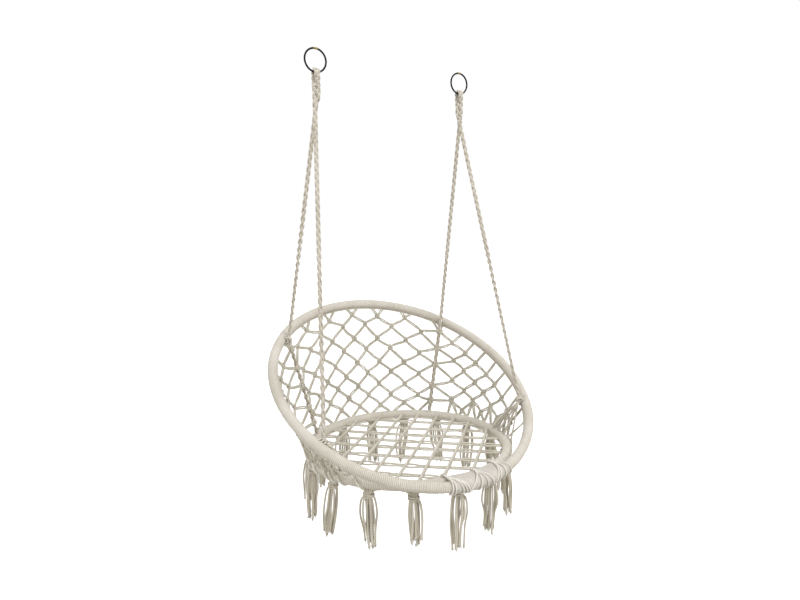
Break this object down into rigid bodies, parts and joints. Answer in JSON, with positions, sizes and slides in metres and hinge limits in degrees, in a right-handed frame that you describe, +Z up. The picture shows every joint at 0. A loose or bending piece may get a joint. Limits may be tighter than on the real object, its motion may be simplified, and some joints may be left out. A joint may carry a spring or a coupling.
{
  "type": "two-ring net hanging seat",
  "caption": "Hanging net seat with two wrapped hoops, four braided ropes on two steel eyes, a diamond net, a woven seat and cord tassels.",
  "frame": {"origin": "midway between the centres of the two steel eyes that the seat hangs from", "axes": "+Z up, -Y towards the open front of the seat, +X along the line from the left eye to the right eye, left and right as seen from in front of the seat"},
  "size_m": [0.8, 0.6981, 1.28],
  "materials": {
    "eye_steel": "dark, glossy, with a brassy weld at the top",
    "tube_steel": "bare tube, hidden under the wrapping",
    "rope_cotton": "natural cream cotton, flat plait",
    "wrap_cord": "natural cream cotton cord, close wound",
    "net_cord": "natural cream cotton cord, twisted",
    "lattice_cord": "natural cream cotton cord, twisted",
    "tassel_cord": "natural cream cotton cord ends, loose"
  },
  "bodies": {
    "rings": {"ring_left": "eye_steel", "ring_right": "eye_steel"},
    "eye_left": {"rope_eye_left": "rope_cotton"},
    "eye_right": {"rope_eye_right": "rope_cotton"},
    "left_ropes": {"rope_left_back": "rope_cotton", "rope_left_front": "rope_cotton", "binding_left": "rope_cotton"},
    "right_ropes": {"rope_right_back": "rope_cotton", "rope_right_front": "rope_cotton", "binding_right": "rope_cotton"},
    "seat": {"back_hoop_tube": "tube_steel", "back_hoop_wrap": "wrap_cord", "seat_hoop_tube": "tube_steel", "seat_hoop_wrap": "wrap_cord", "hitch_left_back": "rope_cotton", "hitch_left_front": "rope_cotton", "hitch_right_back": "rope_cotton", "hitch_right_front": "rope_cotton", "stay_left_back": "rope_cotton", "stay_left_front": "rope_cotton", "stay_right_back": "rope_cotton", "stay_right_front": "rope_cotton", "net_back": "net_cord", "net_left": "net_cord", "net_right": "net_cord", "lacing_left": "net_cord", "lacing_right": "net_cord", "seat_lattice": "lattice_cord", "front_lashing": "lattice_cord"},
    "tassel_01": {"tassel_01": "tassel_cord"},
    "tassel_02": {"tassel_02": "tassel_cord"},
    "tassel_03": {"tassel_03": "tassel_cord"},
    "tassel_04": {"tassel_04": "tassel_cord"},
    "tassel_05": {"tassel_05": "tassel_cord"},
    "tassel_06": {"tassel_06": "tassel_cord"},
    "tassel_07": {"tassel_07": "tassel_cord"},
    "tassel_08": {"tassel_08": "tassel_cord"},
    "tassel_09": {"tassel_09": "tassel_cord"},
    "tassel_10": {"tassel_10": "tassel_cord"},
    "tassel_11": {"tassel_11": "tassel_cord"},
    "tassel_12": {"tassel_12": "tassel_cord"},
    "tassel_13": {"tassel_13": "tassel_cord"},
    "tassel_14": {"tassel_14": "tassel_cord"},
    "tassel_15": {"tassel_15": "tassel_cord"},
    "tassel_16": {"tassel_16": "tassel_cord"}
  },
  "joints": [
    {"name": "swing", "type": "hinge", "parent": "rings", "child": "eye_left", "pos_m": [-0.239, 0, -0.0305], "axis": [1, 0, 0], "range_deg": [-30, 30]},
    {"name": "right_eye_swing", "type": "hinge", "parent": "rings", "child": "eye_right", "pos_m": [0.239, 0, -0.0305], "axis": [1, 0, 0], "range_deg": [-30, 30]},
    {"name": "sway", "type": "hinge", "parent": "eye_left", "child": "left_ropes", "pos_m": [-0.239, 0, -0.0625], "axis": [0, 0.9874, 0.1584], "range_deg": [-10, 10]},
    {"name": "seat_levelling", "type": "hinge", "parent": "left_ropes", "child": "seat", "pos_m": [-0.26939, 0.17139, -0.76598], "axis": [0.1349, 0.8538, 0.5029], "range_deg": [-10, 10]},
    {"name": "right_rope_turn", "type": "hinge", "parent": "seat", "child": "right_ropes", "pos_m": [0.26939, 0.17139, -0.76598], "axis": [-0.1349, 0.8538, 0.5029], "range_deg": [-10, 10]},
    {"name": "tassel_01_dangle", "type": "hinge", "parent": "seat", "child": "tassel_01", "pos_m": [0.28205, 0.02558, -1.1108], "axis": [-0.2588, 0.9659, 0], "range_deg": [-35, 35]},
    {"name": "tassel_02_dangle", "type": "hinge", "parent": "seat", "child": "tassel_02", "pos_m": [0.23166, 0.12776, -1.1108], "axis": [-0.6088, 0.7934, 0], "range_deg": [-35, 35]},
    {"name": "tassel_03_dangle", "type": "hinge", "parent": "seat", "child": "tassel_03", "pos_m": [0.146, 0.20288, -1.1108], "axis": [-0.866, 0.5, 0], "range_deg": [-35, 35]},
    {"name": "tassel_04_dangle", "type": "hinge", "parent": "seat", "child": "tassel_04", "pos_m": [0.03811, 0.2395, -1.1108], "axis": [-0.9914, 0.1305, 0], "range_deg": [-35, 35]},
    {"name": "tassel_05_dangle", "type": "hinge", "parent": "seat", "child": "tassel_05", "pos_m": [-0.07558, 0.23205, -1.1108], "axis": [-0.9659, -0.2588, 0], "range_deg": [-35, 35]},
    {"name": "tassel_06_dangle", "type": "hinge", "parent": "seat", "child": "tassel_06", "pos_m": [-0.17776, 0.18166, -1.1108], "axis": [-0.7934, -0.6088, 0], "range_deg": [-35, 35]},
    {"name": "tassel_07_dangle", "type": "hinge", "parent": "seat", "child": "tassel_07", "pos_m": [-0.25288, 0.096, -1.1108], "axis": [-0.5, -0.866, 0], "range_deg": [-35, 35]},
    {"name": "tassel_08_dangle", "type": "hinge", "parent": "seat", "child": "tassel_08", "pos_m": [-0.2895, -0.01189, -1.1108], "axis": [-0.1305, -0.9914, 0], "range_deg": [-35, 35]},
    {"name": "tassel_09_dangle", "type": "hinge", "parent": "seat", "child": "tassel_09", "pos_m": [-0.28205, -0.12558, -1.1108], "axis": [0.2588, -0.9659, 0], "range_deg": [-35, 35]},
    {"name": "tassel_10_dangle", "type": "hinge", "parent": "seat", "child": "tassel_10", "pos_m": [-0.23166, -0.22776, -1.1108], "axis": [0.6088, -0.7934, 0], "range_deg": [-35, 35]},
    {"name": "tassel_11_dangle", "type": "hinge", "parent": "seat", "child": "tassel_11", "pos_m": [-0.146, -0.30288, -1.1108], "axis": [0.866, -0.5, 0], "range_deg": [-35, 35]},
    {"name": "tassel_12_dangle", "type": "hinge", "parent": "seat", "child": "tassel_12", "pos_m": [-0.03811, -0.3395, -1.1108], "axis": [0.9914, -0.1305, 0], "range_deg": [-35, 35]},
    {"name": "tassel_13_dangle", "type": "hinge", "parent": "seat", "child": "tassel_13", "pos_m": [0.07558, -0.33205, -1.1108], "axis": [0.9659, 0.2588, 0], "range_deg": [-35, 35]},
    {"name": "tassel_14_dangle", "type": "hinge", "parent": "seat", "child": "tassel_14", "pos_m": [0.17776, -0.28166, -1.1108], "axis": [0.7934, 0.6088, 0], "range_deg": [-35, 35]},
    {"name": "tassel_15_dangle", "type": "hinge", "parent": "seat", "child": "tassel_15", "pos_m": [0.25288, -0.196, -1.1108], "axis": [0.5, 0.866, 0], "range_deg": [-35, 35]},
    {"name": "tassel_16_dangle", "type": "hinge", "parent": "seat", "child": "tassel_16", "pos_m": [0.2895, -0.08811, -1.1108], "axis": [0.1305, 0.9914, 0], "range_deg": [-35, 35]}
  ],
  "couplings": [
    {"joint": "right_eye_swing", "follows": "swing", "ratio": 1},
    {"joint": "seat_levelling", "follows": "sway", "ratio": -0.93234},
    {"joint": "right_rope_turn", "follows": "sway", "ratio": 0.93234}
  ]
}
